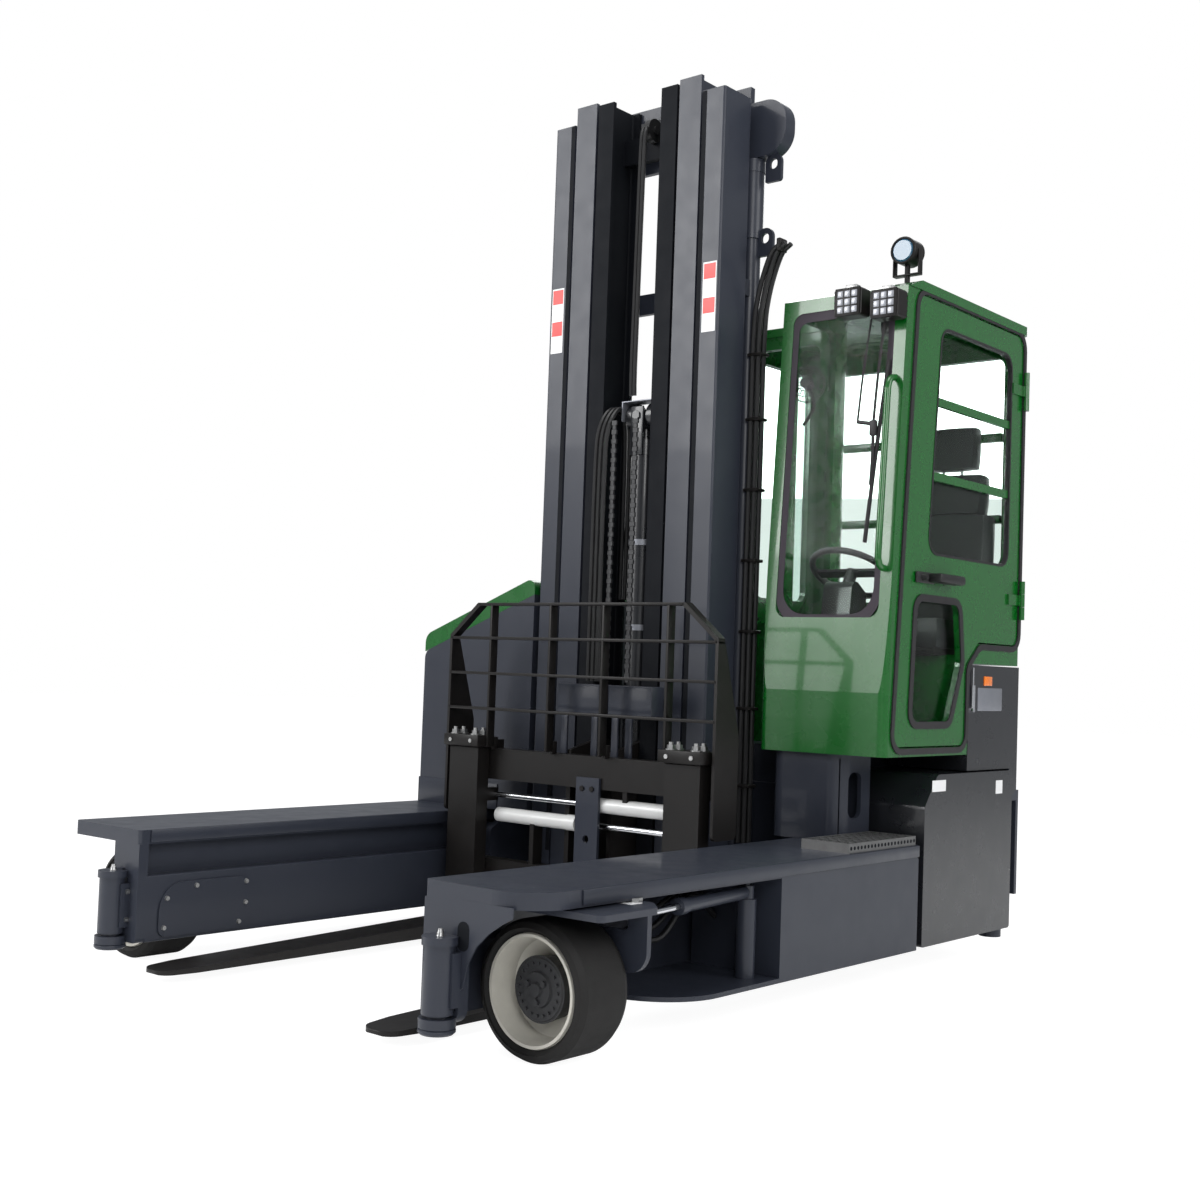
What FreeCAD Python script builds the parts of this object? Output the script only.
# Multidirectional forklift with a reaching three-stage mast, one cab and three steered wheels.
# Millimetres. +Z up, forks point to -Y, +X is the cab side. The origin is on the floor, in the
# middle of the vehicle's plan.
import FreeCAD, Part
import math
import os
import re

DOC = FreeCAD.newDocument("forklift")
V = FreeCAD.Vector

# Driving dimensions: alias, value in mm (or degrees), what it is.
DIMENSIONS = (
    ("half_len", 1450, "origin to the foremost and rearmost faces"),
    ("arm_in", 665, "inner face of each load arm from the middle"),
    ("arm_out", 1050, "outer edge of each load arm from the middle"),
    ("arm_front", "80 - half_len", "front edge of the deck plate"),
    ("arm_back", 604, "rear end of each arm's deck"),
    ("deck_top", 460, "top of the deck plate"),
    ("deck_thk", 46, "deck plate"),
    ("belly", 98, "underside of the arms and chassis"),
    ("plate", 20, "heavy chassis plate"),
    ("end_y", "arm_front + 35", "rear face of each arm's end plate"),
    ("box_front", "king_y + 890", "front of the closed side box on each arm"),
    ("track_lo", 312, "floor of the roller track"),
    ("track_deep", 50, "depth of the roller track into the arm"),
    ("king_x", 925, "kingpin of a front wheel from the middle"),
    ("king_y", "310 - half_len", "kingpin of a front wheel"),
    ("tyre_rad", 187, "front tyre radius"),
    ("tyre_wid", 200, "front tyre width"),
    ("rim_rad", 150, "front rim radius"),
    ("yoke_lo", 390, "underside of the swivel plate"),
    ("yoke_thk", 18, "swivel plate"),
    ("king_rad", 38, "kingpin radius"),
    ("eye_dx", 125, "steering eye outward from the kingpin"),
    ("eye_dy", 182, "steering eye rearward from the kingpin"),
    ("eye_slot", 46, "notch in a yoke's leg that the ram's eye swings through"),
    ("ram_x", 970, "steering ram's base pin from the middle"),
    ("ram_y", "king_y + 820", "steering ram's base pin"),
    ("ram_z", 370, "steering ram's centreline height"),
    ("ram_rad", 20, "steering ram barrel radius"),
    ("rod_rad", 10, "steering ram rod radius"),
    ("ram_len", 420, "steering ram barrel length from its pin"),
    ("jack_x", 760, "front stabiliser jack from the middle"),
    ("jack_rad", 42, "jack post radius"),
    ("cap_rad", 50, "jack cap radius"),
    ("foot_lo", 76, "underside of a raised jack foot"),
    ("rear_y", 1050, "rear wheel's kingpin"),
    ("rear_rad", 230, "rear tyre radius"),
    ("rear_wid", 200, "rear tyre width"),
    ("rear_rim", 150, "rear rim radius"),
    ("beam_lo", 500, "underside of the rear beam's top plate"),
    ("beam_top", 620, "top of the rear beam"),
    ("bay_back", 720, "rear wall of the mast bay"),
    ("cab_in", 40, "cab's inner side wall from the middle"),
    ("cab_out", 1030, "cab's outer side wall from the middle"),
    ("cab_front", 378, "cab's front panel at its foot"),
    ("cab_back", 1420, "cab's rear wall"),
    ("cab_lo", 765, "underside of the cab"),
    ("cab_top", 2400, "underside of the cab roof"),
    ("cab_wall", 30, "cab wall and pillar thickness"),
    ("cab_lean", 90, "setback of the windscreen's head"),
    ("nose_in", 520, "inner end of the cab's front panel"),
    ("roof_thk", 34, "cab roof"),
    ("tank_front", 640, "front of the side tank"),
    ("tank_back", 1330, "rear of the side tank"),
    ("tank_top", 700, "top of the side tank"),
    ("hood_in", -440, "inner side of the engine housing"),
    ("hood_front", 205, "front of the engine housing"),
    ("hood_lo", 1150, "outer top edge of the engine housing"),
    ("hood_hi", 1385, "inner top edge of the engine housing"),
    ("mast_y", 200, "front face of the mast rails"),
    ("mast_top", 3225, "top of the mast"),
    ("mast_half", 410, "outer face of the outer rails"),
    ("rail_wid", 75, "flange width of an inner rail"),
    ("face_wid", 100, "flange width of an outer or middle rail"),
    ("rail_deep", 170, "depth of a rail front to back"),
    ("rail_thk", 16, "flange and web of a rail"),
    ("mid_half", 302, "outer face of the middle rails"),
    ("pivot_y", 300, "mast tilt pivot"),
    ("pivot_z", 240, "mast tilt pivot height"),
    ("lift_x", 380, "lift cylinder from the middle"),
    ("lift_rad", 37, "lift cylinder barrel radius"),
    ("lift_rod", 24, "lift cylinder rod radius"),
    ("free_x", 30, "free-lift cylinder from the middle"),
    ("free_rad", 52, "free-lift cylinder radius"),
    ("free_top", 1900, "top of the free-lift barrel"),
    ("fork_y", -70, "front face of the fork shanks"),
    ("fork_thk", 60, "fork thickness"),
    ("fork_wid", 150, "fork width"),
    ("fork_x", 520, "middle of a fork from the middle"),
    ("fork_tip", "50 - half_len", "fork tip"),
    ("fork_lo", 30, "underside of the fork blade"),
    ("fork_top", 722, "top of the fork shank"),
    ("guard_half", 640, "outer face of the load guard"),
    ("guard_top", 1268, "top of the load guard"),
    ("guard_pitch", 134, "spacing of the guard's cross bars"),
    ("beam_y", 0, "front face of the fork carriage"),
    ("beam_thk", 60, "thickness of the carriage beams"),
    ("pos_hi", 541, "upper positioner cylinder height"),
    ("pos_lo", 467, "lower positioner cylinder height"),
    ("pos_rad", 27, "positioner barrel radius"),
    ("pos_rod", 11, "positioner rod radius"),
    ("inner_half", 191, "outer face of the inner rails"),
    ("tilt_x", 290, "tilt cylinders from the middle"),
    ("reach_x", -330, "reach cylinder from the middle"),
    ("reach_z", 134, "reach cylinder height"),
    ("set_back", 920, "cab's set-back front beside the mast"),
    ("glass", 6, "window glass"),
    ("door_front", 440, "front edge of the door at its foot"),
    ("door_back", 1380, "rear edge of the door"),
    ("door_lo", 800, "foot of the door"),
    ("door_top", "cab_top - 15", "head of the door"),
    ("door_notch", 1180, "underside of the door's rear part"),
    ("shut", 5, "gap round doors and lids"),
    ("seat", 0.4, "clearance under hooks and rollers"),
    ("gap", 1, "clearance round pins and rods"),
)

sheet = DOC.addObject("Spreadsheet::Sheet", "Sizes")
for row, (alias, value, meaning) in enumerate(DIMENSIONS, start=1):
    sheet.set(f"A{row}", meaning)
    sheet.setAlias(f"B{row}", alias)
for row, (alias, value, meaning) in enumerate(DIMENSIONS, start=1):
    sheet.set(f"B{row}", f"={value}" if isinstance(value, str) else str(value))
DOC.recompute()

WORD = re.compile(r"\b(" + "|".join(alias for alias, _, _ in DIMENSIONS) + r")\b")
NODES = []
WORKED = {}
count = 0


def bound(text):
    """The expression with every alias pointing at the sheet."""
    return WORD.sub(r"Sizes.\1", str(text))


def val(text):
    """The number that an expression over the sheet comes to."""
    if isinstance(text, (int, float)):
        return float(text)
    text = str(text)
    if text not in WORKED:
        result = sheet.evalExpression(text)
        WORKED[text] = float(getattr(result, "Value", result))
    return WORKED[text]


def new(kind, name):
    global count
    count += 1
    return DOC.addObject(kind, f"{name}_{count}")


def block(name, x0, x1, y0, y1, z0, z1):
    """A box between two corners, each side bound to the sheet."""
    piece = new("Part::Box", name)
    for side, low, high in (("Length", x0, x1), ("Width", y0, y1), ("Height", z0, z1)):
        piece.setExpression(side, f"({bound(high)}) - ({bound(low)})")
    for axis, low in (("x", x0), ("y", y0), ("z", z0)):
        piece.setExpression(f"Placement.Base.{axis}", bound(low))
    return piece


def rod(name, axis, radius, x, y, z, length):
    """A cylinder from a point along +X, +Y or +Z, its size and place bound to the sheet."""
    piece = new("Part::Cylinder", name)
    piece.setExpression("Radius", bound(radius))
    piece.setExpression("Height", bound(length))
    turn = {"X": FreeCAD.Rotation(V(0, 1, 0), 90), "Y": FreeCAD.Rotation(V(1, 0, 0), -90),
            "Z": FreeCAD.Rotation()}[axis]
    piece.Placement = FreeCAD.Placement(V(), turn)
    for name_of, place in (("x", x), ("y", y), ("z", z)):
        piece.setExpression(f"Placement.Base.{name_of}", bound(place))
    return piece


def fuse(name, pieces):
    if len(pieces) == 1:
        return pieces[0]
    whole = new("Part::MultiFuse", name)
    whole.Shapes = pieces
    whole.Refine = True
    return whole


def cut(name, base, tools):
    result = new("Part::Cut", name)
    result.Base = base
    result.Tool = fuse(name + "_tools", tools)
    result.Refine = True
    return result


def mirrored(name, piece):
    """The same piece on the other side of the vehicle."""
    other = new("Part::Mirroring", name)
    other.Source = piece
    other.Normal = V(1, 0, 0)
    return other


def both(name, piece):
    return [piece, mirrored(name + "_other", piece)]


def formed(name, shape):
    """A shape made with Part's own functions from the sheet's values."""
    piece = new("Part::Feature", name)
    piece.Shape = shape
    return piece


# How an outline's (u, v) lies in the vehicle for a plate that faces each axis.
PLACED = {"X": lambda u, v: V(0, u, v), "Y": lambda u, v: V(u, 0, v), "Z": lambda u, v: V(u, v, 0)}
AXES = {"X": V(1, 0, 0), "Y": V(0, 1, 0), "Z": V(0, 0, 1)}


def outline(points, axis):
    """A closed wire through (u, v, round) points, with each corner rounded by its own radius."""
    edges = []
    starts, ends = [], []
    n = len(points)
    flat = [PLACED[axis](val(u), val(v)) for u, v, _ in points]
    for i in range(n):
        here, before, after = flat[i], flat[i - 1], flat[(i + 1) % n]
        radius = val(points[i][2])
        if radius <= 0:
            starts.append(here)
            ends.append(here)
            edges.append(None)
            continue
        back, on = (before - here).normalize(), (after - here).normalize()
        half = (back.getAngle(on)) / 2
        reach = radius / math.tan(half)
        into, out = here + back * reach, here + on * reach
        middle = here + (back + on).normalize() * (radius / math.sin(half) - radius)
        edges.append(Part.Arc(into, middle, out).toShape())
        starts.append(into)
        ends.append(out)
    chain = []
    for i in range(n):
        if edges[i] is not None:
            chain.append(edges[i])
        a, b = ends[i], starts[(i + 1) % n]
        if (b - a).Length > 1e-6:
            chain.append(Part.LineSegment(a, b).toShape())
    return Part.Wire(chain)


def plate(name, axis, points, start, end, holes=()):
    """A rounded outline pushed along an axis from start to end. (u, v) is (y, z), (x, z) or (x, y)."""
    wires = [outline(points, axis)] + [outline(hole, axis) for hole in holes]
    face = Part.makeFace(wires, "Part::FaceMakerBullseye")
    face.translate(AXES[axis] * val(start))
    return formed(name, face.extrude(AXES[axis] * (val(end) - val(start))))


def turned(name, axis, points, x, y, z):
    """A body turned about a line along X, Y or Z from (along, radius) points."""
    wire = Part.makePolygon([V(val(a), val(r), 0) for a, r in points] + [V(val(points[0][0]), val(points[0][1]), 0)])
    shape = Part.Face(wire).revolve(V(), V(1, 0, 0), 360)
    if axis == "Y":
        shape.rotate(V(), V(0, 0, 1), 90)
    if axis == "Z":
        shape.rotate(V(), V(0, 1, 0), -90)
    shape.translate(V(val(x), val(y), val(z)))
    return formed(name, shape)


def bar(name, points, radius):
    """A round bar through points, with straight runs and tangent bends."""
    path = [V(*(val(c) for c in p[:3])) for p in points]
    bends = [val(p[3]) if len(p) > 3 else 0 for p in points]
    edges = []
    last = path[0]
    for i in range(1, len(path) - 1):
        back, on = (path[i - 1] - path[i]).normalize(), (path[i + 1] - path[i]).normalize()
        half = back.getAngle(on) / 2
        reach = bends[i] / math.tan(half)
        into, out = path[i] + back * reach, path[i] + on * reach
        middle = path[i] + (back + on).normalize() * (bends[i] / math.sin(half) - bends[i])
        edges.append(Part.LineSegment(last, into).toShape())
        edges.append(Part.Arc(into, middle, out).toShape())
        last = out
    edges.append(Part.LineSegment(last, path[-1]).toShape())
    circle = Part.Circle(path[0], (path[1] - path[0]).normalize(), val(radius)).toShape()
    shape = Part.Wire(edges).makePipeShell([Part.Wire([circle])], True, False)
    return formed(name, shape)


def node(name, pieces, loose=False):
    """One named sub-part. Loose solids share the node without touching."""
    if loose and len(pieces) > 1:
        whole = new("Part::Compound", name)
        whole.Links = pieces
    else:
        whole = fuse(name, pieces)
    whole.Label = name
    NODES.append((name, whole))
    return whole


def box_outline(u0, u1, v0, v1, radius):
    return [(u0, v0, radius), (u1, v0, radius), (u1, v1, radius), (u0, v1, radius)]


# Load arms: deck, roller track, side box, wheel bay with its floor, end plate and jack barrel.
def arm(side):
    corner = 140 if side == "near" else 20
    deck = plate("deck", "Z", [("arm_in", "arm_front", 12), ("arm_out", "arm_front", corner),
                               ("arm_out", "arm_back", 10), ("arm_in", "arm_back", 10)],
                 "deck_top - deck_thk", "deck_top")
    bearing = rod("kingpin_bore", "Z", "king_rad + gap", "king_x", "king_y",
                  "deck_top - deck_thk - 1", "deck_thk - 8")
    deck = cut("deck_bored", deck, [bearing])
    wall = plate("track", "Y", [
        ("arm_in", "belly", 6), ("arm_in + 35", "belly", 0), ("arm_in + 35", "track_lo - plate", 0),
        ("arm_in + track_deep + plate", "track_lo - plate", 0),
        ("arm_in + track_deep + plate", "deck_top - deck_thk", 0),
        ("arm_in + track_deep", "deck_top - deck_thk", 0),
        ("arm_in + track_deep", "track_lo", 0), ("arm_in", "track_lo", 6)], "end_y", "arm_back")
    inner = "arm_in + 35"
    side_box = plate("side_box", "X", box_outline("box_front", "arm_back", "belly", "deck_top - deck_thk", 0),
                     "arm_in + track_deep", "arm_out")
    if side == "near":
        floor = [(inner, "box_front - 550", 0), ("arm_out", "box_front - 550", 230),
                 ("arm_out", "box_front", 0), (inner, "box_front", 0)]
    else:
        floor = [(inner, "box_front - 550", 0), ("arm_out", "box_front - 550", 120),
                 ("arm_out", "box_front", 0), (inner, "box_front", 0)]
    floor = plate("bay_floor", "Z", floor, "belly", "belly + 14")
    slot = box_outline("arm_in + 60", "arm_in + 105", 190, 330, 22)
    end = plate("end_plate", "Y", [("arm_in", "belly", 14), ("arm_in + 140", "belly", 40),
                                   ("arm_in + 140", "deck_top - deck_thk", 0),
                                   ("arm_in", "deck_top - deck_thk", 0)],
                "arm_front", "end_y", [slot] if side == "far" else [])
    barrel = rod("jack_barrel", "Z", "jack_rad", "jack_x", "-half_len + cap_rad", "foot_lo + 50", 178)
    collar = rod("jack_collar", "Z", "jack_rad + 6", "jack_x", "-half_len + cap_rad", "foot_lo + 228", 22)
    bore = rod("jack_bore", "Z", "jack_rad - 12 + gap", "jack_x", "-half_len + cap_rad", "foot_lo + 40", 150)
    saddle = block("jack_saddle", "jack_x - jack_rad - 8", "jack_x + jack_rad + 8",
                   "-half_len + cap_rad", "arm_front", "foot_lo + 70", "foot_lo + 210")
    jack = cut("jack_bored", fuse("jack", [barrel, collar, saddle]), [bore])
    lug = rod("ram_lug", "Z", "ram_rad + 10", "ram_x", "ram_y", "belly + 14", "ram_z - ram_rad - seat - belly - 14")
    stud = rod("ram_stud", "Z", 10, "ram_x", "ram_y", "belly + 14", "deck_top - deck_thk - belly - 14")
    return fuse("arm_" + side, [deck, wall, side_box, floor, end, jack, lug, stud])


node("arm_near", [arm("near")])
node("arm_far", [mirrored("arm_far_mirror", arm("far"))])

# The perforated step lies on the near arm's deck at its outer edge.
node("step_tread", [cut("tread", block("tread_blank", "arm_out - 190", "arm_out - 6", 150, 590, "deck_top",
                                       "deck_top + 32"),
                        [block("tread_slot", "arm_out - 176 + 34*%d" % i, "arm_out - 152 + 34*%d" % i, 164, 576,
                               "deck_top + 6", "deck_top + 40") for i in range(5)])])

# Main frame behind the arms: bay wall, side members, rear wheel beam, rear cross wall.
STEP_X, STEP_Y, STEP_Z = "arm_out - 350", "set_back + 65", "door_notch - 80"
frame_parts = [
    block("bay_wall", "-arm_in", "arm_in", "bay_back", "bay_back + plate", "belly", "deck_top"),
    block("bay_wall_high", "hood_in", "arm_in", "bay_back", "bay_back + plate", "deck_top", "beam_top"),
    block("beam", "hood_in", "arm_in", "bay_back + plate", "half_len - 40", "beam_lo", "beam_top"),
    block("engine_floor", "-arm_in", "hood_in + 20", "bay_back + plate", "half_len - 40", "deck_top - 40", "deck_top"),
    block("beam_web", "hood_in", "hood_in + 20", "bay_back + plate", "half_len - 40", "deck_top - 40", "beam_lo"),
    block("side_near", "arm_in - 15", "arm_in + 25", "arm_back", "half_len - 40", "belly", "beam_top"),
    block("side_far", "-arm_in - 25", "-arm_in + 15", "arm_back", "half_len - 40", "belly", "deck_top"),
    block("box_far", "-arm_out", "-arm_in - 25", "arm_back", "half_len - 60", "belly", "deck_top"),
    block("rear_wall", "-arm_out + 20", "arm_out - 20", "half_len - 40", "half_len - 20", "belly + 120", "beam_top"),
    block("upright", STEP_X + " + 5", "cab_out", "tank_back + 12", "half_len - 40", "beam_top - 40", "tank_top + 10"),
    block("step_box", STEP_X + " + 5", "cab_out", STEP_Y + " + 5", "half_len - 40", "tank_top + 5", STEP_Z + " - 5"),
    rod("foot_near", "Z", "jack_rad", "arm_out - 100", "half_len - 75", 52, "belly + 70"),
    rod("foot_far", "Z", "jack_rad", "-arm_out + 100", "half_len - 75", 52, "belly + 70"),
]
frame_cuts = [
    rod("rear_king_bore", "Z", "king_rad + 8 + gap", 0, "rear_y", "beam_lo - 1", "beam_top - beam_lo - 20"),
    rod("reach_hole", "Y", 38, "reach_x", "bay_back - 5", "reach_z", "plate + 10"),
    plate("bay_window", "Y", box_outline(-180, 180, 230, 440, 60), "bay_back - 5", "bay_back + plate + 5"),
]
node("chassis_frame", [cut("frame", fuse("frame_blank", frame_parts), frame_cuts)])
node("side_tank", [plate("tank", "X", [("tank_front", "belly + 4", 12), ("tank_back", "belly + 4", 12),
                                       ("tank_back", "tank_top", 12), ("tank_front + 90", "tank_top", 30),
                                       ("tank_front", "tank_top - 110", 30)], "arm_in + 25", "arm_out")])

# Steered yokes. Each hangs on a kingpin and carries a hub motor on a leg behind the wheel.
def yoke(name, kx, ky, radius, wide, top, pin_rad, pin_len, fender):
    half = f"({wide})/2"
    if fender:
        shape = [(f"{kx} - 140", f"{ky} - 95", 70), (f"{kx} + 225", f"{ky} - 80", 20),
                 (f"{kx} + 225", f"{ky} + 150", 20), (f"{kx} + 160", f"{ky} + 214", 30),
                 (f"{kx} + 92", f"{ky} + 214", 30), (f"{kx} - 95", f"{ky} + 130", 30)]
    else:
        shape = [(f"{kx} - 150", f"{ky} - 95", 70), (f"{kx} + 150", f"{ky} - 95", 70),
                 (f"{kx} + 130", f"{ky} + 150", 20), (f"{kx} - 130", f"{ky} + 150", 20)]
    if fender:
        rim_side = [(f"{kx} + 225", f"{top} - 150", 60), (f"{kx} + 225", top, 0), (f"{kx} + 160", top, 0),
                    (f"{kx} + 160", f"{top} - eye_slot", 12), (f"{kx} + 56", f"{top} - eye_slot", 12),
                    (f"{kx} + 52", top, 0)]
    else:
        rim_side = [(f"{kx} + 40", top, 0)]
    thick = "yoke_thk"
    pieces = [plate(name + "_plate", "Z", shape, top, f"{top} + {thick}"),
              rod(name + "_pin", "Z", pin_rad, kx, ky, top, pin_len),
              plate(name + "_leg", "Y", [(f"{kx} - 62", f"{radius} - 70", 40), (f"{kx} + 62", f"{radius} - 70", 40),
                                         (f"{kx} + 62", f"{radius} + 40", 30)] + rim_side + [(f"{kx} - 70", top, 0)],
                    f"{ky} + {half} + 8", f"{ky} + {half} + 26"),
              rod(name + "_motor", "Y", "rim_rad/2", kx, f"{ky} + 42", radius, f"{half} - 32"),
              rod(name + "_axle", "Y", 28, kx, f"{ky} + 10", radius, 60),
              rod(name + "_back", "Y", 55, kx, f"{ky} + {half} + 26", radius, 34)]
    if fender:
        pieces.append(rod(name + "_boss", "Z", 18, f"{kx} + eye_dx", f"{ky} + eye_dy", f"{top} - 4", 4))
    return fuse(name + "_body", pieces)


def wheel(name, kx, ky, radius, wide, rim):
    """Tyre and rim about an axle along Y. The dish opens to the front, with the hub flange in it."""
    half = f"({wide})/2"
    tyre = turned(name + "_tyre", "Y", [
        (f"-{half} + 18", rim), (f"-{half} + 8", f"{rim} + 14"), (f"-{half}", f"{radius} - 24"),
        (f"-{half} + 8", f"{radius} - 9"), (f"-{half} + 26", radius), (f"{half} - 26", radius),
        (f"{half} - 8", f"{radius} - 9"), (f"{half}", f"{radius} - 24"), (f"{half} - 8", f"{rim} + 14"),
        (f"{half} - 18", rim)], kx, ky, radius)
    hub = turned(name + "_rim", "Y", [
        (f"-{half} + 18", rim), (f"-{half} + 10", f"{rim} - 3"), (f"-{half} + 10", f"{rim} - 11"),
        (-10, f"{rim} - 22"), (14, "rim_rad/2 + 4"), (-40, "rim_rad/2 - 4"), (-52, "rim_rad/2 - 14"),
        (-52, 24), (-60, 20), (-60, 0), (6, 0), (6, 29), (36, 29), (36, "rim_rad/2"),
        (30, f"{rim} - 22"), (f"{half} - 10", f"{rim} - 11"), (f"{half} - 10", f"{rim} - 3"),
        (f"{half} - 18", rim)], kx, ky, radius)
    return tyre, hub


for side in ("near", "far"):
    mount = yoke("yoke_" + side, "king_x", "king_y", "tyre_rad", "tyre_wid", "yoke_lo", "king_rad",
                 "deck_top - 10 - yoke_lo", True)
    tyre, hub = wheel("front_" + side, "king_x", "king_y", "tyre_rad", "tyre_wid", "rim_rad")
    parts = [("front_yoke_", mount), ("front_tyre_", tyre), ("front_rim_", hub)]
    for stem, piece in parts:
        node(stem + side, [piece if side == "near" else mirrored(stem + "mirror", piece)])
node("rear_yoke", [yoke("rear_yoke_blank", "0", "rear_y", "rear_rad", "rear_wid", "2*rear_rad + 14",
                        "king_rad + 8", "beam_top - 24 - 2*rear_rad - 14", False)])
tyre, hub = wheel("rear", "0", "rear_y", "rear_rad", "rear_wid", "rear_rim")
node("rear_tyre", [tyre])
node("rear_rim_disc", [hub])

# Steering rams. The barrel turns on a pin in the bay, the rod's eye sits under the yoke's boss.
RAM_LEAN = math.degrees(math.atan2(val("king_x + eye_dx - ram_x"), val("ram_y - king_y - eye_dy")))
RAM_REACH = math.hypot(val("king_x + eye_dx - ram_x"), val("ram_y - king_y - eye_dy"))
pin = V(val("ram_x"), val("ram_y"), val("ram_z"))


def along_ram(name, shape):
    """A shape made along +X from the ram's pin, swung to point at the steering eye."""
    shape = shape.copy()
    shape.rotate(V(), V(0, 0, 1), -90 + RAM_LEAN)
    shape.translate(pin)
    return formed(name, shape)


ram_r, rod_r, gap, eye_r = val("ram_rad"), val("rod_rad"), val("gap"), 22
length = val("ram_len")
tube = Part.makeCylinder(ram_r, length - 20, V(20, 0, 0), V(1, 0, 0))
tube = tube.fuse(Part.makeCylinder(ram_r + 4, 34, V(length - 34, 0, 0), V(1, 0, 0)))
tube = tube.fuse(Part.makeCylinder(ram_r + 2, 2*ram_r, V(0, 0, -ram_r), V(0, 0, 1)))
tube = tube.cut(Part.makeCylinder(10 + gap, 4*ram_r, V(0, 0, -2*ram_r), V(0, 0, 1)))
tube = tube.cut(Part.makeCylinder(rod_r + gap, length, V(40, 0, 0), V(1, 0, 0)))
stick = Part.makeCylinder(rod_r, RAM_REACH - eye_r - 58, V(60, 0, 0), V(1, 0, 0))
eye = Part.makeCylinder(eye_r, 22, V(RAM_REACH, 0, -11), V(0, 0, 1))
eye = eye.cut(Part.makeCylinder(9, 40, V(RAM_REACH, 0, -20), V(0, 0, 1)))
stick = stick.fuse(eye)
for side in ("near", "far"):
    for stem, shape in (("steer_barrel_", tube), ("steer_rod_", stick)):
        piece = along_ram(stem + "blank", shape)
        node(stem + side, [piece if side == "near" else mirrored(stem + "mirror", piece)])

# Stabiliser feet slide in the jack barrels.
foot = turned("foot_blank", "Z", [(0, 0), (0, "cap_rad - 6"), (6, "cap_rad"), (12, "cap_rad"), (18, "cap_rad - 6"),
                                  (18, "jack_rad - 12"), (180, "jack_rad - 12"), (180, 0)],
              "jack_x", "-half_len + cap_rad", "foot_lo")
node("jack_foot_near", [foot])
node("jack_foot_far", [mirrored("foot_mirror", foot)])

# Reach: a carriage on four rollers in the arms' tracks, pushed by one low cylinder.
carriage = both("cheek", plate("cheek_blank", "X", [(185, 175, 30), (640, 175, 30), (640, "track_lo + 90", 20),
                                                    (560, "deck_top - 12", 20), (300, "deck_top - 12", 40),
                                                    (185, "track_lo + 70", 30)],
                               "arm_in - 53", "arm_in - 25"))
track_mid = "track_lo + 46 + seat"
for spot in (245, 540):
    carriage += both("roller", rod("roller_blank", "X", 46, "arm_in - 26", spot, track_mid, "track_deep + 20"))
carriage += [block("cross_tube", "-arm_in + 30", "arm_in - 30", 500, 600, 180, 330)]
carriage += both("pivot_lug", plate("pivot_blank", "X", [("pivot_y - 46", "pivot_z - 46", 40),
                                                         (520, 185, 0), (520, 320, 0),
                                                         ("pivot_y - 46", "pivot_z + 46", 40)],
                                    "mast_half + 12", "mast_half + 34"))
carriage += both("pivot_pin", rod("pivot_pin_blank", "X", 24, "mast_half - 15", "pivot_y", "pivot_z", 40))
carriage += both("tilt_tower", plate("tilt_tower_blank", "X", [(510, 320, 0), (610, 320, 0), (620, 520, 30),
                                                               (560, 520, 30)], "tilt_x + 27", "tilt_x + 45"))
carriage += both("tilt_pin", rod("tilt_pin_blank", "X", 13, "tilt_x - 18", 590, 490, 50))
for spot in (-44, 26):
    carriage.append(plate("reach_lug", "X", [(527, 112, 20), (577, 112, 20), (577, 190, 0), (527, 190, 0)],
                          f"reach_x + {spot}", f"reach_x + {spot} + 18"))
carriage.append(rod("reach_pin", "X", 12, "reach_x - 40", 552, "reach_z", 80))
node("mast_carriage", carriage)
reach = cut("reach_tube", fuse("reach_blank", [rod("reach_body", "Y", 36, "reach_x", 600, "reach_z", "half_len - 640"),
                                               rod("reach_gland", "Y", 40, "reach_x", 600, "reach_z", 50)]),
            [rod("reach_bore", "Y", 22, "reach_x", 590, "reach_z", 808)])
node("reach_barrel", [reach, block("reach_mount", "reach_x - 40", "reach_x + 40", "half_len - 60", "half_len - 40",
                                   "reach_z - 30", "belly + 121")])
node("reach_rod", [cut("reach_rod_bored", fuse("reach_rod_blank", [
    rod("reach_stick", "Y", 20, "reach_x", 552, "reach_z", 833),
    rod("reach_eye", "X", 26, "reach_x - 22", 552, "reach_z", 44)]),
    [rod("reach_eye_bore", "X", 13, "reach_x - 30", 552, "reach_z", 60)])])

# Mast rails, three nested pairs. Flanges face front and back, webs carry the rollers.
def rail(name, outer, channel, wide, low, high):
    """One rail's section from its outer face inward, pushed up from low to high."""
    inner = f"{outer} - {wide}"
    front, back = "mast_y", "mast_y + rail_deep"
    if channel:
        web_out, web_in = outer, f"{outer} - rail_thk"
        section = [(inner, front, 0), (outer, front, 8), (outer, back, 8), (inner, back, 0),
                   (inner, f"{back} - rail_thk", 0), (web_in, f"{back} - rail_thk", 10),
                   (web_in, f"{front} + rail_thk", 10), (inner, f"{front} + rail_thk", 0)]
    else:
        web_out, web_in = f"{outer} - 28", f"{outer} - 28 - rail_thk"
        section = [(inner, front, 0), (outer, front, 0), (outer, f"{front} + rail_thk", 0),
                   (web_out, f"{front} + rail_thk", 8), (web_out, f"{back} - rail_thk", 8),
                   (outer, f"{back} - rail_thk", 0), (outer, back, 0), (inner, back, 0),
                   (inner, f"{back} - rail_thk", 0), (web_in, f"{back} - rail_thk", 8),
                   (web_in, f"{front} + rail_thk", 8), (inner, f"{front} + rail_thk", 0)]
    return plate(name, "Z", section, low, high)


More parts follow.
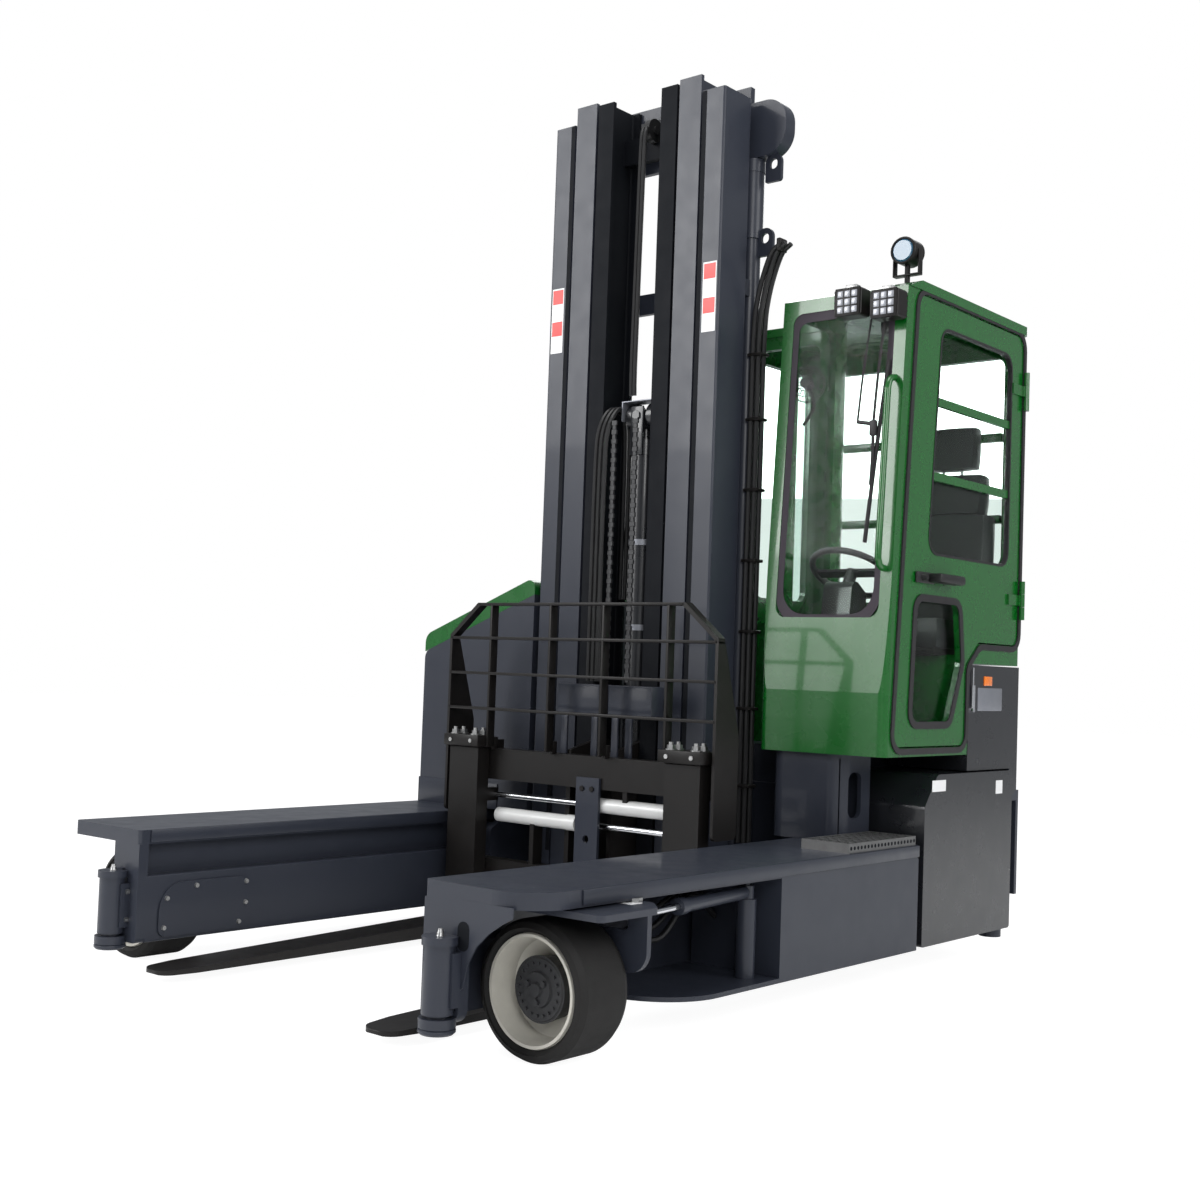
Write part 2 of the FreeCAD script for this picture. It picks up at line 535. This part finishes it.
ROLLER = "rail_deep/2 - rail_thk - 2"
MID = "mast_y + rail_deep/2"
outer = both("outer_rail", rail("outer_blank", "mast_half", True, "face_wid", 118, "mast_top - 65"))
BAR_Y = "mast_y + rail_deep + 28"
for low, high in ((150, 330), (590, 700), ("mast_top - 805", "mast_top - 725"), ("mast_top - 165", "mast_top - 85")):
    outer.append(block("outer_bar", "-mid_half - 20", "mid_half + 20", BAR_Y, f"{BAR_Y} + 22", low, high))
    outer += both("bar_bracket", block("bar_bracket_blank", "mid_half + 10", "mast_half - face_wid + 31",
                                       "mast_y + rail_deep", f"{BAR_Y} + 22", low, high))
outer += both("outer_roller", rod("outer_roller_blank", "X", ROLLER, "mid_half - 24", MID, "mast_top - 145", 22))
outer += both("outer_axle", rod("outer_axle_blank", "X", 18, "mid_half - 20", MID, "mast_top - 145",
                                "mast_half - mid_half + 14"))
outer += both("ear", cut("ear_bored", plate("ear_blank", "X", [(BAR_Y, 600, 0), (f"{BAR_Y} + 86", 612, 26),
                                                   (f"{BAR_Y} + 86", 668, 26), (BAR_Y, 690, 0)],
                                            "tilt_x + 16", "tilt_x + 30"),
                         [rod("ear_bore", "X", 14, "tilt_x", f"{BAR_Y} + 57", 640, 60)]))
outer += both("ear_pin", rod("ear_pin_blank", "X", 13, "tilt_x - 12", f"{BAR_Y} + 57", 640, 44))
outer = cut("outer_bored", fuse("outer_all", outer),
            [rod("outer_pivot_" + str(s), "X", 25, f"{s}*mast_half - 30", "pivot_y", "pivot_z", 60)
             for s in (-1, 1)])
node("mast_outer", [outer])
LIFT_Y = "mast_y + rail_deep + 28 + lift_rad"
barrels = [cut("lift_tube", fuse("lift_blank", [rod("lift_body", "Z", "lift_rad", "lift_x", LIFT_Y, 150, "mast_top - 665"),
                                                rod("lift_gland", "Z", "lift_rad + 5", "lift_x", LIFT_Y, "mast_top - 565", 50),
                                                block("lift_seat", "lift_x - 30", "lift_x + 28",
                                                      "mast_y + rail_deep", LIFT_Y, 150, 200),
                                                block("lift_clip", "lift_x - 22", "lift_x + 22",
                                                      "mast_y + rail_deep", LIFT_Y, "mast_top - 795",
                                                      "mast_top - 735")]),
               [rod("lift_bore", "Z", "lift_rod + gap", "lift_x", LIFT_Y, 300, "mast_top")])]
node("lift_barrels", both("lift_barrel", barrels[0]), loose=True)
middle = both("mid_rail", rail("mid_blank", "mid_half", False, "face_wid", 124, "mast_top"))
middle += [block("mid_bar", "-mid_half + 8", "mid_half - 8", "mast_y + rail_deep", "mast_y + rail_deep + 22",
                 low, high) for low, high in ((140, 240), (1500, 1580), ("mast_top - 260", "mast_top - 190"))]
middle += both("mid_roller", rod("mid_roller_blank", "X", ROLLER, "mast_half - face_wid + 4", MID, 220, 44))
middle += both("mid_axle", rod("mid_axle_blank", "X", 18, "mid_half - 30", MID, 220,
                               "mast_half - face_wid - mid_half + 40"))
node("mast_middle", middle)
block_top = "mast_top - 65"
heads = both("lift_head", plate("lift_head_blank", "Y", [("lift_x - 28", "mast_top - 275", 20),
                                                         ("lift_x + 160", "mast_top - 275", 90),
                                                         ("lift_x + 160", block_top, 90),
                                                         ("lift_x - 28", block_top, 20)],
                                "mast_y + rail_deep + 34", "mast_y + rail_deep + 96"))
heads += [block("head_bar", "-lift_x", "lift_x", "mast_y + rail_deep + 34", "mast_y + rail_deep + 60",
                "mast_top - 50", "mast_top"),
          block("head_bridge", "-mid_half + 10", "mid_half - 10", "mast_y + rail_deep", "mast_y + rail_deep + 40",
                "mast_top - 50", "mast_top")]
heads += both("head_post", block("head_post_blank", "lift_x - 28", "lift_x", "mast_y + rail_deep + 34",
                                 "mast_y + rail_deep + 60", "mast_top - 100", "mast_top"))
node("lift_rods", heads)
node("lift_sticks", both("lift_stick", rod("lift_stick_blank", "Z", "lift_rod", "lift_x", LIFT_Y, 700,
                                           "mast_top - 275 - 700")), loose=True)
inner = both("inner_rail", rail("inner_blank", "inner_half", False, "rail_wid", 130, "mast_top - 12"))
inner += [block("inner_bar_top", "-inner_half + 20", "inner_half - 20", "mast_y + rail_deep - 60",
                "mast_y + rail_deep - 32", "mast_top - 230", "mast_top - 130"),
          block("inner_bar_low", "-inner_half + 20", "inner_half - 20", "mast_y + rail_deep - 60",
                "mast_y + rail_deep - 34", 132, 176)]
inner += both("inner_roller", rod("inner_roller_blank", "X", ROLLER, "mid_half - face_wid + 2", MID, 235, 22))
inner += both("inner_axle", rod("inner_axle_blank", "X", 18, "inner_half - 34", MID, 235,
                                "mid_half - face_wid - inner_half + 44"))
node("mast_inner", inner)
FREE_Y = "mast_y + 85"
node("free_lift_barrel", [cut("free_tube", fuse("free_blank", [
    rod("free_body", "Z", "free_rad", "free_x", FREE_Y, 300, "free_top - 300"),
    rod("free_gland", "Z", "free_rad + 5", "free_x", FREE_Y, "free_top - 60", 60),
    block("free_shoe", "free_x - 50", "free_x + 50", FREE_Y, "mast_y + rail_deep - 60", 132, 300)]),
    [rod("free_bore", "Z", 31, "free_x", FREE_Y, 420, "free_top")])])
sheave = [rod("free_stick", "Z", 30, "free_x", FREE_Y, 600, "free_top - 500"),
          block("free_yoke", "free_x - 44", "free_x + 44", "mast_y + 55", "mast_y + 115", "free_top + 40",
                "free_top + 110")]
sheave += [rod("sheave_" + str(i), "X", 52, f"free_x - 62 + {i}*96", FREE_Y, "free_top + 90", 28) for i in (0, 1)]
sheave += [rod("sheave_pin", "X", 14, "free_x - 60", FREE_Y, "free_top + 90", 120)]
node("free_lift_rod", sheave)

# Tilt cylinders between the carriage's towers and the ears behind the outer rails.
tilt_from = V(0, 590, 490)
tilt_to = V(0, val(f"{BAR_Y} + 57"), 640)
tilt_run = (tilt_to - tilt_from).Length
tilt_angle = math.degrees(math.atan2(tilt_to.z - tilt_from.z, tilt_to.y - tilt_from.y))


def along_tilt(name, shape):
    """A shape made along +X, laid on the tilt cylinder's line on both sides."""
    pieces = []
    for sign in (1, -1):
        copy = shape.copy()
        copy.rotate(V(), V(0, 0, 1), 90)
        copy.rotate(V(), V(1, 0, 0), tilt_angle)
        copy.translate(V(sign*val("tilt_x"), tilt_from.y, tilt_from.z))
        pieces.append(formed(name, copy))
    return pieces


tilt_tube = Part.makeCylinder(24, 110, V(14, 0, 0), V(1, 0, 0))
tilt_tube = tilt_tube.fuse(Part.makeCylinder(22, 32, V(0, -16, 0), V(0, 1, 0)))
tilt_tube = tilt_tube.cut(Part.makeCylinder(14, 40, V(0, -20, 0), V(0, 1, 0)))
tilt_tube = tilt_tube.cut(Part.makeCylinder(15, 150, V(30, 0, 0), V(1, 0, 0)))
tilt_stick = Part.makeCylinder(14, tilt_run - 90, V(72, 0, 0), V(1, 0, 0))
tilt_eye = Part.makeCylinder(22, 24, V(tilt_run, -12, 0), V(0, 1, 0))
tilt_stick = tilt_stick.fuse(tilt_eye).cut(Part.makeCylinder(16, 40, V(tilt_run, -20, 0), V(0, 1, 0)))
node("tilt_barrels", along_tilt("tilt_tube", tilt_tube), loose=True)
node("tilt_rods", along_tilt("tilt_stick", tilt_stick), loose=True)

# Fork carriage: two beams on guide plates whose rollers run in the inner rails.
BEAM_BACK = "beam_y + beam_thk"
carrier = [block("beam_high", "-guard_half + 24", "guard_half - 24", "beam_y", BEAM_BACK, 600, "fork_top - 6"),
           block("beam_low", "-guard_half + 24", "guard_half - 24", "beam_y", BEAM_BACK, 200, 300),
           block("centre_bar", 0, 107, "beam_y - 12", "beam_y", 240, 640)]
carrier += both("guide", plate("guide_blank", "X", [(BEAM_BACK, 180, 0), ("mast_y + 100", 180, 40),
                                                    ("mast_y + 100", 790, 60), (BEAM_BACK, 730, 0)],
                               "inner_half - rail_wid - 25", "inner_half - rail_wid - 5"))
for spot in (250, 700):
    carrier += both("guide_roller", rod("guide_roller_blank", "X", ROLLER, "inner_half - rail_wid - 6", MID, spot,
                                        28))
tubes = []
for level in ("pos_hi", "pos_lo"):
    start = 20 if level == "pos_hi" else -420
    tubes += [rod("positioner_tube", "X", "pos_rad", start, "beam_y + 30", level, 400),
                rod("positioner_gland", "X", "pos_rad + 2", start - 1 if level == "pos_hi" else -69,
                    "beam_y + 30", level, 50)]
    reach_up = ("pos_hi + 20", 600) if level == "pos_hi" else (300, "pos_lo - 20")
    tubes.append(block("positioner_foot", start + 180, start + 200, "beam_y + 10", BEAM_BACK, *reach_up))
node("fork_carriage", [cut("carrier", fuse("carrier_blank", carrier),
                           [rod("bar_hole", "Y", 14, 53, "beam_y - 20", 420, 40)])])
node("positioner_barrels", [cut("tubes_bored", fuse("tubes_blank", tubes), [
    rod("rod_way_hi", "X", "pos_rod + gap", 10, "beam_y + 30", "pos_hi", 400),
    rod("rod_way_lo", "X", "pos_rod + gap", -410, "beam_y + 30", "pos_lo", 400)])])

# Load guard: cross bars between two side plates with uprights in front.
guard = both("guard_side", plate("guard_side_blank", "X", [
    ("beam_y - 50", 470, 20), ("beam_y + 84", 470, 20), ("beam_y + 84", 820, 40), ("beam_y - 10", 1136, 20),
    ("beam_y - 50", 1136, 8)], "guard_half - 18", "guard_half"))
guard += [block("guard_top_bar", -500, 500, "beam_y - 50", "beam_y - 12", "guard_top - 24", "guard_top")]
for i in range(3):
    high = f"guard_top - {i + 1}*guard_pitch"
    guard.append(block("guard_bar", "-guard_half + 10", "guard_half - 10", "beam_y - 50", "beam_y - 12",
                       f"{high} - 13", f"{high} + 13"))
for spot, foot in ((-425, 34), (-124, -6), (130, -6), (422, 34)):
    guard.append(block("guard_upright", spot - 6, spot + 6, "beam_y - 50", "beam_y + 8", f"fork_top + {foot}",
                       "guard_top - 4"))
guard += both("guard_slope", plate("guard_slope_blank", "Y", [
    ("guard_half - 24", 1110, 0), ("guard_half", 1110, 0), ("guard_half", 1146, 10), (506, "guard_top", 10),
    (476, "guard_top", 0), (476, "guard_top - 24", 0)], "beam_y - 50", "beam_y - 12"))
guard += both("guard_lug", block("guard_lug_blank", "guard_half - 24", "guard_half - 18", "beam_y + 20",
                                 "beam_y + 50", 640, "fork_top - 6"))
node("load_guard", guard)

# Forks hook over the beams and carry the positioner rods. Modelled right, mirrored left.
def fork(side):
    left, right = "fork_x - fork_wid/2", "fork_x + fork_wid/2"
    back = "fork_y + fork_thk"
    heel = plate("heel", "X", [("fork_tip", "fork_lo", 4), (back, "fork_lo", 60), (back, "fork_top", 6),
                               ("fork_y", "fork_top", 6), ("fork_y", "fork_lo + fork_thk - 8", 30),
                               ("fork_tip", "fork_lo + 14", 4)], left, right)
    nose = plate("nose", "Z", [(left, "fork_tip - 10", 0), (right, "fork_tip - 10", 0), (right, "fork_tip + 120", 0),
                               (f"{right} - 18", "fork_tip", 50), (f"{left} + 18", "fork_tip", 50),
                               (left, "fork_tip + 120", 0)], "fork_lo - 5", "fork_lo + 90")
    pieces = [cut("blade", heel, [nose]),
              block("hook_top", f"{left} + 8", f"{right} - 8", f"{back} - 4", f"{BEAM_BACK} + 18",
                    "fork_top - 6 + seat", "fork_top + 26"),
              block("hook_lip", f"{left} + 8", f"{right} - 8", f"{BEAM_BACK} + 5", f"{BEAM_BACK} + 18", 680,
                    "fork_top"),
              block("hook_low", f"{left} + 8", f"{right} - 8", f"{back} - 4", f"{BEAM_BACK} + 18", 172,
                    "200 - seat"),
              block("hook_low_lip", f"{left} + 8", f"{right} - 8", f"{BEAM_BACK} + 5", f"{BEAM_BACK} + 18", 180, 225)]
    level = "pos_lo" if side == "right" else "pos_hi"
    pieces.append(block("rod_lug", left, f"{left} + 30", f"{back} - 4", "beam_y + 48", f"{level} - 24",
                        f"{level} + 24"))
    stick = rod("positioner_stick", "X", "pos_rod", -150, "beam_y + 30", level, f"{left} + 150")
    return fuse("fork_" + side, pieces), stick


shank, stick = fork("right")
node("fork_right", [shank])
node("positioner_rod_right", [stick])
shank, stick = fork("left")
node("fork_left", [mirrored("fork_mirror", shank)])
node("positioner_rod_left", [mirrored("stick_mirror", stick)])

# Cab: an L-shaped shell with a leaning nose, hollow, windows and door opening cut out.
def cab_plan(inset, low, high):
    return plate("plan", "Z", [
        (f"cab_in + {inset}", f"set_back + {inset}", 30), (f"nose_in + {inset}", f"set_back + {inset}", 130),
        (f"nose_in + {inset}", f"cab_front + {inset}", 30), (f"cab_out - {inset}", f"cab_front + {inset}", 30),
        (f"cab_out - {inset}", f"cab_back - {inset}", 30), (f"cab_in + {inset}", f"cab_back - {inset}", 30)],
        low, high)


def lean_wedge(offset):
    """What the leaning windscreen takes off the front, offset inward by a wall."""
    return plate("wedge", "X", [("cab_front - 60", 916, 0), (f"cab_front - 4 + {offset}", 916, 0),
                                (f"cab_front - 4 + cab_lean + {offset}", "cab_top", 0),
                                ("cab_front - 60", "cab_top", 0)], "nose_in - 40", "cab_out + 40")


def rear_step(grow):
    """The step under the seat, where the frame's box stands behind the door's foot."""
    return block("rear_step", f"{STEP_X} - {grow}", "cab_out + 1", f"{STEP_Y} - {grow}", "cab_back + 1", "cab_lo - 1",
                 f"{STEP_Z} + {grow}")


solid = cut("cab_solid", cab_plan("0", "cab_lo", "cab_top"), [lean_wedge("0"), rear_step("0")])
hollow = cut("cab_hollow", cab_plan("cab_wall", "cab_lo + cab_wall", "cab_top + 1"),
             [lean_wedge("cab_wall"), rear_step("cab_wall")])
door_hole = plate("door_hole", "X", [
    ("door_front - shut", "door_lo - shut", 20), (960, "door_lo - shut", 20), (960, "door_notch - 90", 40),
    (1060, "door_notch - shut", 20), ("door_back + shut", "door_notch - shut", 20),
    ("door_back + shut", "door_top + shut", 20), ("door_front + 110 - shut", "door_top + shut", 20)],
    "cab_out - cab_wall - 1", "cab_out + 1")
GLASS_Y = "cab_front - 4"
screen_hole = plate("screen_hole", "Y", box_outline("nose_in + 45", "cab_out - 45", 1240, "cab_top - 50", 40),
                    "cab_front - 20", "cab_front + cab_lean + cab_wall + 20")
left_hole = plate("left_hole", "X", box_outline("cab_front + 150", "set_back - 140", 1240, "cab_top - 50", 40),
                  "nose_in - 1", "nose_in + cab_wall + 1")
back_hole = plate("set_back_hole", "Y", box_outline("cab_in + 45", "nose_in - 130", 1240, "cab_top - 50", 40),
                  "set_back - 1", "set_back + cab_wall + 1")
rear_hole = plate("rear_hole", "Y", box_outline("cab_in + 80", "cab_out - 80", 1350, "cab_top - 80", 40),
                  "cab_back - cab_wall - 1", "cab_back + 1")
side_hole = plate("side_hole", "X", box_outline("set_back + 70", "cab_back - 60", 1350, "cab_top - 80", 40),
                  "cab_in - 1", "cab_in + cab_wall + 1")
node("cab_shell", [cut("cab_walls", solid, [hollow, door_hole, screen_hole, left_hole, back_hole, rear_hole,
                                            side_hole])])
roof_plan = cab_plan("(0 - 6)", "cab_top", "cab_top + roof_thk")
roof_slope = plate("roof_slope", "X", [("cab_front - 60", "cab_top - 1", 0), ("cab_front + cab_lean", "cab_top - 1", 0),
                                       ("cab_front + cab_lean + 90", "cab_top + roof_thk + 1", 0),
                                       ("cab_front - 60", "cab_top + roof_thk + 1", 0)], "nose_in - 40",
                   "cab_out + 40")
node("cab_roof", [cut("roof", roof_plan, [roof_slope])])
lean = "cab_lean/(cab_top - 916)"
screen = plate("screen", "X", [(f"{GLASS_Y} + 8 + 324*{lean}", 1240, 0), (f"{GLASS_Y} + 8 + (cab_top - 966)*{lean}", "cab_top - 50", 0),
                               (f"{GLASS_Y} + 8 + glass + (cab_top - 966)*{lean}", "cab_top - 50", 0),
                               (f"{GLASS_Y} + 8 + glass + 324*{lean}", 1240, 0)], "nose_in + 45", "cab_out - 45")
corner_cut = plate("screen_corners", "Y", box_outline("nose_in + 45", "cab_out - 45", 1240, "cab_top - 50", 40),
                   "cab_front - 20", "cab_front + cab_lean + 60")
screen_fit = new("Part::Common", "screen_fit")
screen_fit.Base, screen_fit.Tool = screen, corner_cut
panes = [screen_fit,
         plate("left_pane", "X", box_outline("cab_front + 150", "set_back - 140", 1240, "cab_top - 50", 40), "nose_in + 8",
               "nose_in + 8 + glass"),
         plate("set_back_pane", "Y", box_outline("cab_in + 45", "nose_in - 130", 1240, "cab_top - 50", 40), "set_back + 8",
               "set_back + 8 + glass"),
         plate("rear_pane", "Y", box_outline("cab_in + 80", "cab_out - 80", 1350, "cab_top - 80", 40), "cab_back - 14",
               "cab_back - 14 + glass"),
         plate("side_pane", "X", box_outline("set_back + 70", "cab_back - 60", 1350, "cab_top - 80", 40), "cab_in + 8",
               "cab_in + 8 + glass")]
node("cab_glass", panes, loose=True)
pedestal = plate("pedestal_blank", "Z", [("nose_in + 30", "cab_front + 30", 60), ("arm_out - 200", "cab_front + 30", 60),
                                         ("arm_out - 200", "arm_back", 0), ("nose_in + 30", "arm_back", 0)],
                 "deck_top", "cab_lo")
pedestal_rear = block("pedestal_rear", "cab_in + 40", "arm_in + 20", "bay_back + plate", "cab_back - 40",
                      "beam_top", "cab_lo")
pedestal_hollow = block("pedestal_hollow", "nose_in + 46", "arm_out - 216", "cab_front + 46", "arm_back - 16",
                        "deck_top - 1", "cab_lo - 16")
openings = [plate("pedestal_window", "X", box_outline("cab_front + 80", "arm_back - 60", 540, 700, 30),
                  "nose_in + 20", "cab_out")]
node("cab_pedestal", [cut("pedestal_front", pedestal, [pedestal_hollow] + openings), pedestal_rear])

# Door: one leaning frame with two windows, two cross rails, knuckles and a handle.
DOOR_PANES = [[(650, "door_notch + 300", 60), (1290, "door_notch + 300", 60), (1290, "door_top - 85", 60),
               (715, "door_top - 85", 60)],
              [(545, "door_lo + 75", 50), (840, "door_lo + 75", 50), (930, "door_notch - 80", 50),
               (900, "door_notch + 140", 50), (570, "door_notch + 140", 50)]]
leaf = plate("leaf", "X", [
    ("door_front", "door_lo", 20), ("955", "door_lo", 20), ("955", "door_notch - 88", 40),
    ("1060", "door_notch", 20), ("door_back", "door_notch", 20), ("door_back", "door_top", 20),
    ("door_front + 110", "door_top", 20)], "cab_out - cab_wall", "cab_out", DOOR_PANES)
HINGE_X, HINGE_Y = "cab_out + 14", "door_back + 12"
knuckles, cab_knuckles = [], []
for high in (1330, 2150):
    knuckles += [rod("knuckle", "Z", 11, HINGE_X, HINGE_Y, high, 50),
                 block("strap", "cab_out", "cab_out + 8", "door_back - 90", HINGE_Y, high + 5, high + 45),
                 block("strap_neck", "cab_out + 2", HINGE_X, "door_back - 10", HINGE_Y, high + 5, high + 45)]
    for level in (high - 50, high + 51):
        cab_knuckles += [rod("cab_knuckle", "Z", 11, HINGE_X, HINGE_Y, level, 49),
                         block("cab_strap", "cab_out", HINGE_X, HINGE_Y, f"{HINGE_Y} + 26", level + 2, level + 47)]
leaf_parts = [leaf] + knuckles
for high in (1760, 2030):
    leaf_parts.append(block("door_rail", "cab_out - 18", "cab_out - 4", 600, 1320, high - 15, high + 15))
leaf_parts.append(bar("door_handle", [("cab_out - 4", 690, 1392, 0), ("cab_out + 44", 690, 1392, 14),
                                      ("cab_out + 44", 810, 1392, 14), ("cab_out - 4", 810, 1392, 0)], 8))
node("cab_door", leaf_parts)
node("door_glass", [
    plate("door_pane", "X", pane, "cab_out - 30", "cab_out - 30 + glass") for pane in DOOR_PANES], loose=True)
node("cab_hinges", cab_knuckles, loose=True)

# Seat, console and steering wheel.
node("driver_seat", [
    block("seat_box", 590, f"{STEP_X} - cab_wall", 860, 1250, "cab_lo + cab_wall", f"{STEP_Z} + cab_wall"),
    plate("cushion", "Z", box_outline(570, 970, 850, 1290, 60), f"{STEP_Z} + cab_wall", f"{STEP_Z} + 140"),
    plate("backrest", "X", [(1230, f"{STEP_Z} + 136", 20), (1330, f"{STEP_Z} + 136", 20),
                            (1370, f"{STEP_Z} + 730", 30), (1290, f"{STEP_Z} + 730", 30)], 590, 950),
    plate("headrest", "X", [(1296, f"{STEP_Z} + 720", 10), (1350, f"{STEP_Z} + 720", 10),
                            (1366, f"{STEP_Z} + 900", 20), (1306, f"{STEP_Z} + 900", 20)], 670, 870)])
column = plate("column", "X", [(520, "cab_lo + cab_wall", 0), (620, "cab_lo + cab_wall", 0), (700, 1340, 30),
                               (600, 1400, 30)], 640, 760)
ring = new("Part::Torus", "wheel_ring")
ring.Radius1, ring.Radius2 = 150, 12
ring.Placement = FreeCAD.Placement(V(700, 690, 1417), FreeCAD.Rotation(V(1, 0, 0), -30))
spoke = new("Part::Box", "spoke")
spoke.Length, spoke.Width, spoke.Height = 300, 40, 12
spoke.Placement = FreeCAD.Placement(V(550, 670, 1422), FreeCAD.Rotation(V(1, 0, 0), -30))
post = new("Part::Cylinder", "wheel_post")
post.Radius, post.Height = 22, 110
post.Placement = FreeCAD.Placement(V(700, 640, 1330), FreeCAD.Rotation(V(1, 0, 0), -30))
node("steering_console", [column, ring, spoke, post])

# Engine housing: open box of plates with a hinged lid over a plain engine block.
HOOD_FAR = "-arm_out"
housing = plate("housing", "Y", [(HOOD_FAR, "deck_top", 12), ("hood_in", "deck_top", 12), ("hood_in", "hood_hi - 70", 0),
                                 (HOOD_FAR, "hood_lo - 70", 40)], "hood_front", "half_len - 40")
housing_hollow = plate("housing_hollow", "Y", [(f"{HOOD_FAR} + 30", "deck_top + 30", 0),
                                               ("hood_in - 30", "deck_top + 30", 0), ("hood_in - 30", "hood_hi + 30", 0),
                                               (f"{HOOD_FAR} + 30", "hood_hi + 30", 0)], "hood_front + 30",
                       "half_len - 70")
grille = [block("grille_slot", "-arm_out + 120", "-arm_out + 480", "half_len - 80", "half_len", f"620 + 60*{i}",
                f"650 + 60*{i}") for i in range(5)]
node("engine_housing", [cut("housing_open", housing, [housing_hollow] + grille)])
node("engine_block", [plate("engine", "Y", [("-arm_out + 130", "deck_top + 30", 20), ("hood_in - 110", "deck_top + 30", 20),
                                            ("hood_in - 150", 1000, 40), ("-arm_out + 180", 1000, 40)],
                            "hood_front + 200", "half_len - 250")])
node("engine_lid", [plate("lid", "Y", [(HOOD_FAR, "hood_lo - 70 + seat", 0), ("hood_in", "hood_hi - 70 + seat", 0),
                                       ("hood_in", "hood_hi", 30), (HOOD_FAR, "hood_lo", 50)],
                          "hood_front", "half_len - 40")])

# Work lights on the cab's front edge and lamps on its roof.
lights = []
for x, down in ((840, 54), (985, 77)):
    z = val("cab_top") - down
    lights += [plate("work_light", "Y", box_outline(x - 55, x + 55, z - 50, z + 50, 12), "cab_front", "cab_front + 60"),
               block("light_foot", x - 8, x + 8, "cab_front + 60", f"{GLASS_Y} + cab_lean*({z} - 926)/(cab_top - 916)",
                     z - 10, z + 10)]
lights += [rod("spot_post", "Z", 10, 900, 686, "cab_top + roof_thk", 110),
           rod("spot_lamp", "Y", 50, 900, 650, "cab_top + roof_thk + 150", 70),
           rod("beacon", "Z", 42, 200, 1150, "cab_top + roof_thk", 120)]
node("work_lights", lights, loose=True)

DOC.recompute()
os.makedirs("parts", exist_ok=True)
broken = [item.Name for item in DOC.Objects if "Invalid" in item.State or "Error" in item.State]
assert not broken, broken
for name, item in NODES:
    assert not item.Shape.isNull() and item.Shape.isValid(), name
    item.Shape.exportStep("parts/" + name + ".step")
    box = item.Shape.BoundBox
    print(name, len(item.Shape.Solids), round(item.Shape.Volume/1e9, 4),
          [round(c) for c in (box.XMin, box.XMax, box.YMin, box.YMax, box.ZMin, box.ZMax)])
